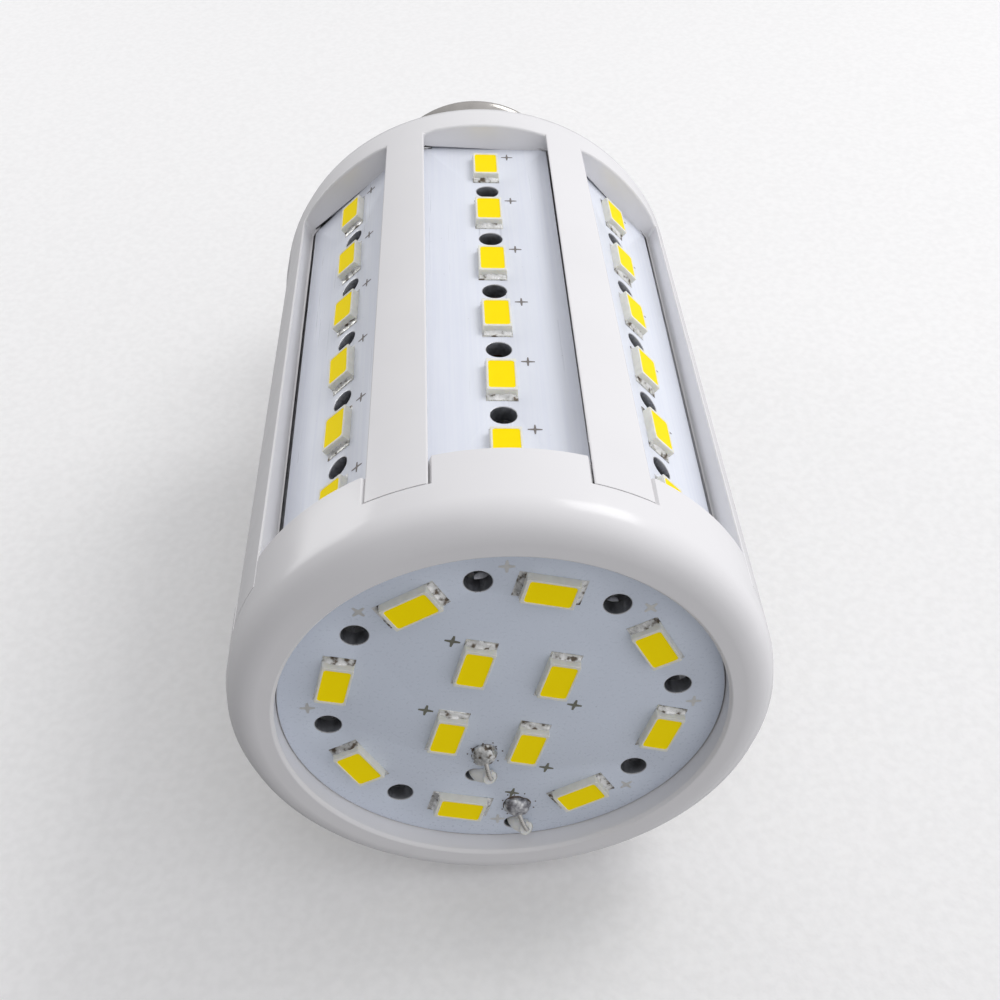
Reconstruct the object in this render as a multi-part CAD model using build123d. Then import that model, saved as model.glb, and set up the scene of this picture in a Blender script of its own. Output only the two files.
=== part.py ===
from build123d import *
import math
import os

# LED lamp with eight lit sides and a lit front end, on a screw cap of 27 mm.
# Sizes are in millimetres. The axis of the lamp is Z and the cap is on top. The lamp stands on its
# flat front rim at z = 0. Side board 1 faces -Y, and the others follow it round Z.

# Housing cage: pillars between the windows, with the shoulder and neck behind them
SIDES = 8
FRONT_R = 25.7
BODY_TAPER = 0.6
PILLAR_WIDTH = 6.6
PILLAR_INNER_WIDTH = 1.7
PILLAR_DEPTH = 2.4
WINDOW_TOP_Z = 70.0
SHOULDER_TOP_Z = 77.0
SHOULDER_ROUND = 3.6
CAP_SEAT_Z = 83.0
CAP_SEAT_LEDGE = 0.75
CONE_SPREAD = 2.8
HOUSING_WALL = 2.0
NECK_CLEARANCE = 0.3
NECK_WALL = 1.5
NECK_LENGTH = 11.0
REAR_PLATE_THICKNESS = 3.0
BOARD_POCKET_DEPTH = 1.6

# Front ring: rounded rim, recess for the end board, socket for the side boards
RIM_ROUND = 3.0
RIM_WIDTH = 4.6
RECESS_DEPTH = 2.1
RECESS_EDGE_CHAMFER = 0.3
END_BOARD_LEDGE = 1.2
RING_FLOOR_THICKNESS = 1.4
SEAM_Z = 5.3
SILL_Z = 8.9
SEAM_GAP = 0.15

# Boards and light-emitting packages
BOARD_THICKNESS = 1.6
BOARD_WIDTH = 14.0
BOARD_INSET = 3.8
BOARD_CLEARANCE = 0.1
LEDS_PER_SIDE = 6
LED_PITCH = 10.37
LED_TOP_ROW_Z = 64.9
BOARD_HOLE_R = 1.25
HOLE_FACETS = 12
LED_LENGTH = 5.0
LED_WIDTH = 3.0
LED_HEIGHT = 0.9
WINDOW_LENGTH = 4.2
WINDOW_WIDTH = 2.4
WINDOW_DEPTH = 0.2
PHOSPHOR_DEPTH = 0.15

# End board
END_BOARD_CLEARANCE = 0.15
END_BOARD_TURN = 13.07
END_RING_LED_INSET = 5.1
END_RING_HOLE_INSET = 4.5
END_INNER_SPACING_X = 8.0
END_INNER_SPACING_Y = 10.1
WIRE_HOLE_R = 1.1

# Leads from the driver to the end board; places on it are insets from the recess wall and angles
SLEEVE_R = 0.8
CORE_R = 0.35
SLEEVE_RISE = 0.1
CORE_RISE = 0.5
SOLDER_FOOT_R = 1.5
SOLDER_TOP_R = 0.6
SOLDER_HEIGHT = 1.2
LEAD_HOLES = [(10.1, 88.96), (2.18, 70.22)]
LEAD_PADS = [(13.79, 86.86), (5.15, 69.07)]
LEAD_SPARE_HOLE = 1
LEAD_BEND_Z = 24.0
LEAD_LAP = 3.0
LEAD_BEND_R = 8.0
LEAD_SPACING = 6.0

# Screw cap
CAP_SKIRT_STEP = 1.35
CAP_SKIRT_LENGTH = 3.4
CAP_SKIRT_SLOPE = 0.6
CAP_WALL = 0.4
THREAD_PITCH = 3.629
THREAD_MINOR_R = 12.1
THREAD_DEPTH = 1.05
THREAD_TURNS = 3.8
THREAD_START_GAP = 0.2
THREAD_CREST = 1.1
THREAD_FOOT = 2.5
CAP_LENGTH = 27.0
CAP_SHELL_LENGTH = 22.2
CAP_TURN_IN = 2.5
CAP_END_ROUND = 2.2
INSULATOR_TAPER = 4.0
INSULATOR_LAP = 0.25
INSULATOR_LAP_DEPTH = 1.6
INSULATOR_BORE_CLEARANCE = 0.2
CONTACT_INSET = 0.7
CONTACT_THICKNESS = 1.5
CONTACT_CHAMFER = 0.6

# Driver inside the housing
DRIVER_CLEARANCE = 0.4
DRIVER_BOTTOM_Z = 50.0
DRIVER_TOP_Z = 92.0
DRIVER_THICKNESS = 1.6
ELECTROLYTIC_R = 5.0
ELECTROLYTIC_LENGTH = 16.0
ELECTROLYTIC_Z = 69.0
FILM_CAP_SIZE = (13.0, 6.0, 12.0)
FILM_CAP_Z = 63.0
BRIDGE_SIZE = (6.0, 2.4, 4.8)
BRIDGE_Z = 76.0
RESISTOR_R = 1.3
RESISTOR_LENGTH = 7.0
RESISTOR_ZS = (81.5, 86.5)
CAP_LEAD_R = 0.6
SHELL_LEAD_RISE = 3.0

# How far a cutting solid runs past the surface that it cuts, and the turn between a round's flat bands
CUT_LAP = 1.0
BAND_ANGLE = 22.5

# Worked out from the sizes above
STEP_ANGLE = 360.0 / SIDES
FIRST_SIDE_ANGLE = -90.0
FIRST_PILLAR_ANGLE = FIRST_SIDE_ANGLE + STEP_ANGLE / 2
REAR_R = FRONT_R - BODY_TAPER
PILLAR_INNER_R = FRONT_R - PILLAR_DEPTH
RECESS_R = FRONT_R - RIM_WIDTH
BOARD_FACE_APOTHEM = FRONT_R - BOARD_INSET
END_BOARD_FACE_Z = RECESS_DEPTH
END_BOARD_BACK_Z = END_BOARD_FACE_Z + BOARD_THICKNESS
RING_FLOOR_Z = END_BOARD_BACK_Z + RING_FLOOR_THICKNESS
PILLAR_FOOT_Z = SEAM_Z + SEAM_GAP
BOARD_BACK_APOTHEM = BOARD_FACE_APOTHEM - BOARD_THICKNESS
SOCKET_APOTHEM = BOARD_FACE_APOTHEM + BOARD_CLEARANCE
INNER_APOTHEM = BOARD_BACK_APOTHEM - BOARD_CLEARANCE
REAR_PLATE_TOP_Z = WINDOW_TOP_Z + REAR_PLATE_THICKNESS
BOARD_FOOT_Z = RING_FLOOR_Z
BOARD_TOP_Z = WINDOW_TOP_Z + BOARD_POCKET_DEPTH - BOARD_CLEARANCE
THREAD_MAJOR_R = THREAD_MINOR_R + THREAD_DEPTH
CAP_SKIRT_R = THREAD_MINOR_R + CAP_SKIRT_STEP
CAP_SEAT_R = CAP_SKIRT_R + CAP_SEAT_LEDGE
CONE_FOOT_R = CAP_SEAT_R + CONE_SPREAD
CAP_TURNED_IN_R = THREAD_MINOR_R - CAP_TURN_IN
INSULATOR_TIP_R = CAP_TURNED_IN_R - INSULATOR_TAPER
CONTACT_R = INSULATOR_TIP_R - CONTACT_INSET
NECK_R = THREAD_MINOR_R - CAP_WALL - NECK_CLEARANCE
CAP_TIP_Z = CAP_SEAT_Z + CAP_LENGTH
CAP_END_Z = CAP_SEAT_Z + CAP_SHELL_LENGTH
CONTACT_SEAT_Z = CAP_TIP_Z - CONTACT_THICKNESS
NECK_BORE_R = NECK_R - NECK_WALL
DRIVER_WIDTH = 2 * (NECK_BORE_R - DRIVER_CLEARANCE)
NECK_TOP_Z = CAP_SEAT_Z + NECK_LENGTH


def banded(points, number, radius):
    """Corners of an outline with one of them rounded by short bands, which keeps the facets few."""
    corner = Vector(*points[number])
    before = (Vector(*points[number - 1]) - corner).normalized()
    after = (Vector(*points[(number + 1) % len(points)]) - corner).normalized()
    half = math.radians(before.get_angle(after) / 2)
    centre = corner + (before + after).normalized() * (radius / math.sin(half))
    spoke = corner + before * (radius / math.tan(half)) - centre
    turn = math.copysign(180 - 2 * math.degrees(half), -before.cross(after).Z)
    steps = max(1, round(abs(turn) / BAND_ANGLE))
    arc = [centre + spoke.rotate(Axis.Z, turn * step / steps) for step in range(steps + 1)]
    return points[:number] + [(point.X, point.Y) for point in arc] + points[number + 1:]


def turned(points, rounds=()):
    """Solid turned round Z from corners of radius and height; rounds pairs a corner's number and radius."""
    for number, radius in sorted(rounds, reverse=True):
        points = banded(points, number, radius)
    return revolve(Plane.XZ * make_face(Polyline(*points, close=True)), Axis.Z)


def octagon(apothem):
    """Face of a regular polygon whose sides face the side boards."""
    return RegularPolygon(apothem, SIDES, major_radius=False, rotation=FIRST_PILLAR_ANGLE)


def prism(face, z_low, z_high):
    """A face of the XY plane, raised from z_low to z_high."""
    return Pos(0, 0, z_low) * extrude(face, z_high - z_low)


def around(solid, first_angle=0.0, count=SIDES):
    """Copies of a solid at equal steps round Z."""
    return [Rot(0, 0, first_angle + i * 360.0 / count) * solid for i in range(count)]


def body_radius(z):
    """Outer radius of the slightly tapered body at height z."""
    share = (z - SEAM_Z) / (WINDOW_TOP_Z - SEAM_Z)
    return FRONT_R + (REAR_R - FRONT_R) * share


def wedge_corners(clearance):
    """Radius and half width of a pillar's two ends, grown by a clearance and run past the body's surface."""
    outer_half = PILLAR_WIDTH / 2 + clearance
    inner_half = PILLAR_INNER_WIDTH / 2 + clearance
    spread = (outer_half - inner_half) / (FRONT_R - PILLAR_INNER_R)
    return (PILLAR_INNER_R - clearance, inner_half), (FRONT_R + CUT_LAP, outer_half + spread * CUT_LAP)


def window():
    """Cutter for the window on the +X axis, between two pillars."""
    corners = [Vector(radius, -half).rotate(Axis.Z, STEP_ANGLE / 2) for radius, half in wedge_corners(0)]
    upper = [(corner.X, corner.Y) for corner in corners]
    lower = [(x, -y) for x, y in reversed(upper)]
    return prism(make_face(Polyline(*upper, *lower, close=True)), PILLAR_FOOT_Z - CUT_LAP, WINDOW_TOP_Z)


def board_pocket(index):
    """Cutter for the pocket in the rear plate that holds a side board's end."""
    length = BOARD_POCKET_DEPTH + CUT_LAP
    width = BOARD_WIDTH + 2 * BOARD_CLEARANCE
    depth = BOARD_THICKNESS + 2 * BOARD_CLEARANCE
    middle = WINDOW_TOP_Z + BOARD_POCKET_DEPTH - length / 2
    return side_plane(index).location * Pos(middle, 0, -BOARD_THICKNESS / 2) * Box(length, width, depth)


def housing_cage():
    """Rear housing and its pillars, moulded in one piece."""
    cavity_r = body_radius(SHOULDER_TOP_Z) - HOUSING_WALL
    cavity_top = SHOULDER_TOP_Z - HOUSING_WALL
    points = [
        (0, WINDOW_TOP_Z), (PILLAR_INNER_R, WINDOW_TOP_Z), (PILLAR_INNER_R, PILLAR_FOOT_Z),
        (body_radius(PILLAR_FOOT_Z), PILLAR_FOOT_Z), (body_radius(SHOULDER_TOP_Z), SHOULDER_TOP_Z),
        (CONE_FOOT_R, SHOULDER_TOP_Z), (CAP_SEAT_R, CAP_SEAT_Z), (NECK_R, CAP_SEAT_Z), (NECK_R, NECK_TOP_Z),
        (NECK_BORE_R, NECK_TOP_Z), (NECK_BORE_R, CAP_SEAT_Z - HOUSING_WALL),
        (CONE_FOOT_R - HOUSING_WALL, cavity_top), (cavity_r, cavity_top), (cavity_r, REAR_PLATE_TOP_Z),
        (0, REAR_PLATE_TOP_Z)]
    body = turned(points, [(4, SHOULDER_ROUND)])
    opening = prism(octagon(INNER_APOTHEM - HOUSING_WALL / 2), WINDOW_TOP_Z - CUT_LAP, REAR_PLATE_TOP_Z + CUT_LAP)
    pockets = [board_pocket(index) for index in range(SIDES)]
    return body - opening - pockets - around(window(), FIRST_SIDE_ANGLE)


def front_ring():
    """Rounded rim with the end board's recess in front and a castellated socket behind."""
    ledge_r = RECESS_R - END_BOARD_LEDGE
    points = [
        (RECESS_R + RECESS_EDGE_CHAMFER, 0), (FRONT_R, 0), (FRONT_R, SILL_Z), (ledge_r, SILL_Z),
        (ledge_r, END_BOARD_BACK_Z), (RECESS_R, END_BOARD_BACK_Z), (RECESS_R, RECESS_EDGE_CHAMFER)]
    ring = turned(points, [(1, RIM_ROUND)])
    socket = prism(octagon(SOCKET_APOTHEM), RING_FLOOR_Z, SILL_Z + CUT_LAP)
    inner, outer = wedge_corners(SEAM_GAP)
    outline = Polyline((inner[0], -inner[1]), (outer[0], -outer[1]), outer, inner, close=True)
    notch = prism(make_face(outline), SEAM_Z, SILL_Z + CUT_LAP)
    return ring - socket - around(notch, FIRST_PILLAR_ANGLE)


def side_plane(index):
    """Plane on the face of a side board: x runs up the lamp and z points outwards."""
    angle = math.radians(FIRST_SIDE_ANGLE + index * STEP_ANGLE)
    normal = Vector(math.cos(angle), math.sin(angle), 0)
    return Plane(origin=normal * BOARD_FACE_APOTHEM, x_dir=(0, 0, 1), z_dir=normal)


def led_heights():
    """Height of each package on a side board, from the rear end down."""
    return [LED_TOP_ROW_Z - i * LED_PITCH for i in range(LEDS_PER_SIDE)]


def board_hole(x, y, radius):
    """Cutter for a hole through a board, at x and y on the plane of its face; few sides keep its facets few."""
    outline = RegularPolygon(radius, HOLE_FACETS)
    return Pos(x, y, -BOARD_THICKNESS - CUT_LAP) * extrude(outline, BOARD_THICKNESS + 2 * CUT_LAP)


def side_board(index):
    """Metal-cored strip with a hole between each two packages."""
    middle = (BOARD_FOOT_Z + BOARD_TOP_Z) / 2
    length = BOARD_TOP_Z - BOARD_FOOT_Z
    strip = Pos(middle, 0, -BOARD_THICKNESS / 2) * Box(length, BOARD_WIDTH, BOARD_THICKNESS)
    holes = [board_hole(z - LED_PITCH / 2, 0, BOARD_HOLE_R) for z in led_heights()[:-1]]
    return side_plane(index).location * (strip - holes)


def led_body():
    """White package body with the window's shallow well in its top."""
    body = Pos(0, 0, LED_HEIGHT / 2) * Box(LED_LENGTH, LED_WIDTH, LED_HEIGHT)
    well = Pos(0, 0, LED_HEIGHT) * Box(WINDOW_LENGTH, WINDOW_WIDTH, 2 * WINDOW_DEPTH)
    return body - well


def led_phosphor():
    """Yellow filling of the window's well."""
    well_floor = LED_HEIGHT - WINDOW_DEPTH
    return Pos(0, 0, well_floor + PHOSPHOR_DEPTH / 2) * Box(WINDOW_LENGTH, WINDOW_WIDTH, PHOSPHOR_DEPTH)


def end_plane():
    """Plane on the face of the end board, turned with it: z points out of the lamp's front."""
    angle = math.radians(END_BOARD_TURN)
    x_dir = Vector(math.cos(angle), math.sin(angle), 0)
    return Plane(origin=(0, 0, END_BOARD_FACE_Z), x_dir=x_dir, z_dir=(0, 0, -1))


def ring_point(inset, angle):
    """A point on end_plane, from its inset from the recess wall and its angle seen from behind."""
    turn = math.radians(angle)
    radius = RECESS_R - inset
    return radius * math.cos(turn), -radius * math.sin(turn)


def package_places():
    """Places of the end board's packages on end_plane: the ring first, then the inner four."""
    places = []
    for i in range(SIDES):
        angle = i * STEP_ANGLE
        places.append(Location((*ring_point(END_RING_LED_INSET, angle), 0), (0, 0, 90 - angle)))
    for side in (1, -1):
        for end in (1, -1):
            place = (side * END_INNER_SPACING_X / 2, end * END_INNER_SPACING_Y / 2, 0)
            places.append(Location(place, (0, 0, 90)))
    return places


def end_board():
    """Round board in the recess, with its ring of holes and the two holes for the leads."""
    disc = Pos(0, 0, -BOARD_THICKNESS / 2) * Cylinder(RECESS_R - END_BOARD_CLEARANCE, BOARD_THICKNESS)
    ring_angles = [(i + 0.5) * STEP_ANGLE for i in range(SIDES) if i != LEAD_SPARE_HOLE]
    holes = [board_hole(*ring_point(END_RING_HOLE_INSET, angle), BOARD_HOLE_R) for angle in ring_angles]
    wire_holes = [board_hole(*ring_point(*hole), WIRE_HOLE_R) for hole in LEAD_HOLES]
    return end_plane().location * (disc - holes - wire_holes)


def wire(points, radius):
    """Round wire along one straight run, or along two joined by an arc."""
    path = FilletPolyline(*points, radius=LEAD_BEND_R) if len(points) > 2 else Line(*points)
    start = Plane(origin=path @ 0, z_dir=path % 0)
    return sweep(start * Circle(radius), path=path)


def lead_sleeve(index):
    """Insulation of one lead, from the end board's hole up to the driver board's face."""
    hole = ring_point(*LEAD_HOLES[index])
    foot = (end_plane().location * Location((*hole, SLEEVE_RISE))).position
    x = (index - 0.5) * LEAD_SPACING
    y = DRIVER_THICKNESS / 2 + SLEEVE_R + BOARD_CLEARANCE
    end = (x, y, DRIVER_BOTTOM_Z + LEAD_LAP)
    return wire([(foot.X, foot.Y, foot.Z), (foot.X, foot.Y, LEAD_BEND_Z), end], SLEEVE_R)


def lead_core(index):
    """Bare end of one lead, from its hole to the middle of its pad."""
    hole = ring_point(*LEAD_HOLES[index])
    pad = ring_point(*LEAD_PADS[index])
    return end_plane().location * wire([(*hole, CORE_RISE), (*pad, CORE_RISE)], CORE_R)


def lead_solder(index):
    """Solder joint of one lead, round the core's end."""
    pad = Pos(*ring_point(*LEAD_PADS[index]), SOLDER_HEIGHT / 2)
    return end_plane().location * pad * Cone(SOLDER_FOOT_R, SOLDER_TOP_R, SOLDER_HEIGHT) - lead_core(index)


def cap_thread():
    """Raised turns of the screw cap, their sides run down into the wall and both ends run out."""
    low = CAP_SEAT_Z + CAP_SKIRT_LENGTH + THREAD_FOOT / 2 + THREAD_START_GAP
    height = THREAD_TURNS * THREAD_PITCH
    sunk_r = THREAD_MINOR_R - CAP_WALL / 2
    slope = (THREAD_FOOT - THREAD_CREST) / (2 * THREAD_DEPTH)
    sunk_half = THREAD_FOOT / 2 + slope * (THREAD_MINOR_R - sunk_r)
    outline = Polyline(
        (sunk_r, -sunk_half), (THREAD_MAJOR_R, -THREAD_CREST / 2), (THREAD_MAJOR_R, THREAD_CREST / 2),
        (sunk_r, sunk_half), close=True)
    section = (Plane.XZ * make_face(outline)).face()
    ridge = Solid.sweep(section, Helix(THREAD_PITCH, height, THREAD_MINOR_R), is_frenet=True)
    full_r = THREAD_MAJOR_R + CAP_WALL
    bore_r = THREAD_MINOR_R - CAP_WALL
    foot_r = THREAD_MINOR_R - CAP_WALL / 8
    run_out = THREAD_PITCH / 2
    envelope = turned([
        (0, -THREAD_PITCH), (bore_r, -THREAD_PITCH), (foot_r, 0), (full_r, run_out), (full_r, height - run_out),
        (foot_r, height), (bore_r, height + THREAD_PITCH), (0, height + THREAD_PITCH)])
    return Pos(0, 0, low) * (ridge & envelope)


def screw_cap_shell():
    """Rolled cap shell: skirt over the neck, threaded wall and turned-in end."""
    skirt_top = CAP_SEAT_Z + CAP_SKIRT_LENGTH
    skirt_low = skirt_top - CAP_SKIRT_SLOPE
    skirt_bore_r = CAP_SKIRT_R - CAP_WALL
    bore_r = THREAD_MINOR_R - CAP_WALL
    end_inside = CAP_END_Z - CAP_WALL
    points = [
        (CAP_SKIRT_R, CAP_SEAT_Z), (CAP_SKIRT_R, skirt_low), (THREAD_MINOR_R, skirt_top),
        (THREAD_MINOR_R, CAP_END_Z), (CAP_TURNED_IN_R, CAP_END_Z), (CAP_TURNED_IN_R, end_inside),
        (bore_r, end_inside), (bore_r, skirt_top - CAP_WALL), (skirt_bore_r, skirt_low - CAP_WALL),
        (skirt_bore_r, CAP_SEAT_Z)]
    return turned(points, [(3, CAP_END_ROUND), (6, CAP_END_ROUND - CAP_WALL)]) + cap_thread()


def cap_insulator():
    """Dark cone that carries the contact in the cap's end."""
    bore_r = CAP_LEAD_R + INSULATOR_BORE_CLEARANCE
    lap_r = CAP_TURNED_IN_R + INSULATOR_LAP
    end_inside = CAP_END_Z - CAP_WALL
    low = end_inside - INSULATOR_LAP_DEPTH
    return turned([
        (bore_r, low), (lap_r, low), (lap_r, end_inside), (CAP_TURNED_IN_R, end_inside),
        (CAP_TURNED_IN_R, CAP_END_Z), (INSULATOR_TIP_R, CONTACT_SEAT_Z), (bore_r, CONTACT_SEAT_Z)])


def centre_contact():
    """Round contact button with a flat top."""
    return turned([
        (0, CONTACT_SEAT_Z), (CONTACT_R, CONTACT_SEAT_Z), (CONTACT_R, CAP_TIP_Z - CONTACT_CHAMFER),
        (CONTACT_R - CONTACT_CHAMFER, CAP_TIP_Z), (0, CAP_TIP_Z)])


def driver_board():
    """Upright board in the housing, its upper end inside the neck."""
    height = DRIVER_TOP_Z - DRIVER_BOTTOM_Z
    return Pos(0, 0, (DRIVER_TOP_Z + DRIVER_BOTTOM_Z) / 2) * Box(DRIVER_WIDTH, DRIVER_THICKNESS, height)


def on_driver(side, depth, z):
    """Place on the driver board's face: side 1 is +Y, -1 is -Y, and depth is the piece's size along Y."""
    return Pos(0, side * (DRIVER_THICKNESS + depth) / 2, z)


def electrolytic_capacitor():
    """Can lying along the board."""
    return on_driver(1, 2 * ELECTROLYTIC_R, ELECTROLYTIC_Z) * Cylinder(ELECTROLYTIC_R, ELECTROLYTIC_LENGTH)


def film_capacitor():
    """Block on the board's other face."""
    return on_driver(-1, FILM_CAP_SIZE[1], FILM_CAP_Z) * Box(*FILM_CAP_SIZE)


def bridge_rectifier():
    """Small block above the film capacitor."""
    return on_driver(-1, BRIDGE_SIZE[1], BRIDGE_Z) * Box(*BRIDGE_SIZE)


def resistors():
    """Two resistors across the board."""
    body = Rot(0, 90, 0) * Cylinder(RESISTOR_R, RESISTOR_LENGTH)
    return [on_driver(-1, 2 * RESISTOR_R, z) * body for z in RESISTOR_ZS]


def cap_live_lead():
    """Straight wire from the driver's top to the centre contact."""
    length = CONTACT_SEAT_Z - DRIVER_TOP_Z
    return Pos(0, 0, (CONTACT_SEAT_Z + DRIVER_TOP_Z) / 2) * Cylinder(CAP_LEAD_R, length)


def cap_shell_lead():
    """Wire from the driver's top over the neck's end to the cap's wall."""
    start = (DRIVER_WIDTH / 4, 0, DRIVER_TOP_Z + CAP_LEAD_R)
    end = (THREAD_MINOR_R - CAP_WALL - BOARD_CLEARANCE - CAP_LEAD_R, 0, NECK_TOP_Z + SHELL_LEAD_RISE)
    return wire([start, end], CAP_LEAD_R)


def write(name, solids):
    """Writes one node, a single solid or a group of separate ones."""
    shape = solids[0] if len(solids) == 1 else Compound(children=list(solids))
    shape.label = name
    export_step(shape, f"parts/{name}.step")


def write_packages(bodies, phosphors, seats):
    """Writes the packages at some seats, as one node for their bodies and one for their windows."""
    write(bodies, [seat * led_body() for seat in seats])
    write(phosphors, [seat * led_phosphor() for seat in seats])


def main():
    """Builds and writes every node."""
    os.makedirs("parts", exist_ok=True)
    write("housing_cage", [housing_cage()])
    write("front_ring", [front_ring()])
    for index in range(SIDES):
        number = index + 1
        write(f"side_board_{number}", [side_board(index)])
        seats = [side_plane(index).location * Pos(z, 0, 0) for z in led_heights()]
        write_packages(f"side_led_bodies_{number}", f"side_led_phosphors_{number}", seats)
    write("end_board", [end_board()])
    seats = [end_plane().location * place for place in package_places()]
    write_packages("end_led_bodies", "end_led_phosphors", seats)
    for index in range(len(LEAD_HOLES)):
        write(f"lead_sleeve_{index + 1}", [lead_sleeve(index)])
        write(f"lead_core_{index + 1}", [lead_core(index)])
    write("lead_solder_joints", [lead_solder(index) for index in range(len(LEAD_HOLES))])
    write("screw_cap_shell", [screw_cap_shell()])
    write("cap_insulator", [cap_insulator()])
    write("centre_contact", [centre_contact()])
    write("driver_board", [driver_board()])
    write("electrolytic_capacitor", [electrolytic_capacitor()])
    write("film_capacitor", [film_capacitor()])
    write("bridge_rectifier", [bridge_rectifier()])
    write("driver_resistors", resistors())
    write("cap_live_lead", [cap_live_lead()])
    write("cap_shell_lead", [cap_shell_lead()])


main()
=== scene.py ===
import logging
import math
from dataclasses import dataclass
from enum import Enum
from functools import partial
from typing import Callable, Optional, Sequence

import bmesh
import bpy
from mathutils import Matrix, Vector, noise


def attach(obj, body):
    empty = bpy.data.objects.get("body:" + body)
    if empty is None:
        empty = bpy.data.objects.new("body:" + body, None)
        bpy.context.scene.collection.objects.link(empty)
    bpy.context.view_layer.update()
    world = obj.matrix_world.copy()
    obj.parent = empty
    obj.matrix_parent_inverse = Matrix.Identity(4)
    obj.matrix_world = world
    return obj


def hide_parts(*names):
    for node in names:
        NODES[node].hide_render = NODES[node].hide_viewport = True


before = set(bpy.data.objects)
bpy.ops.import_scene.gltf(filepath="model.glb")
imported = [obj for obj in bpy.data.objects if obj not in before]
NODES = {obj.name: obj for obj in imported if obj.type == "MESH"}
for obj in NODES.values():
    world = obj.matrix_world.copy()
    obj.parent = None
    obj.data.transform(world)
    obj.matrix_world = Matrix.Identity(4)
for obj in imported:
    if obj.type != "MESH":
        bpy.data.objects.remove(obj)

log = logging.getLogger("lamp")
MM = 0.001
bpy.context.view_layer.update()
UP = Vector((0, 0, 1))
Mesh, Socket, Shell = bpy.types.Mesh, bpy.types.NodeSocket, bmesh.types.BMesh
Pair = tuple[float, float]
Triple = tuple[float, float, float]
# Angles in degrees and places in millimetres that tell the mouldings' edges and walls apart.
FLAT, CRISP, OUTSIDE, SHOULDER = 0.4, 30.0, 22.5, 74.0
# Shares of a normal's length: across the axis where a wall isn't flat, and away from it on a turned one.
UPRIGHT, NEARLY_AWAY = 0.3, 0.978
HOLE_SIDES = 32


class Graph:
    """Node tree with the few calls that building one needs."""

    def __init__(self, tree: bpy.types.NodeTree) -> None:
        """Works on this tree."""
        self.tree = tree

    def add(self, kind: str, inputs: Optional[dict] = None, **settings: object) -> bpy.types.Node:
        """Adds a node, sets its properties and feeds its inputs, by name or number."""
        node = self.tree.nodes.new(kind)
        for key, value in settings.items():
            setattr(node, key, value)
        for key, value in (inputs or {}).items():
            self.feed(value, node.inputs[key])
        return node

    def feed(self, value: object, target: Socket) -> None:
        """Links a socket to an input, or sets the input to a plain value."""
        if isinstance(value, Socket):
            self.tree.links.new(value, target)
        else:
            colour = target.type == "RGBA" and len(value) == 3
            target.default_value = (*value, 1.0) if colour else value

    def out(self, kind: str, inputs: Optional[dict] = None, **settings: object) -> Socket:
        """Adds a node as above and returns its first output."""
        return self.add(kind, inputs, **settings).outputs[0]

    def math(self, operation: str, *values: object) -> Socket:
        """One number from up to three, by a math operation."""
        return self.out("ShaderNodeMath", dict(enumerate(values)), operation=operation)


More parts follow.
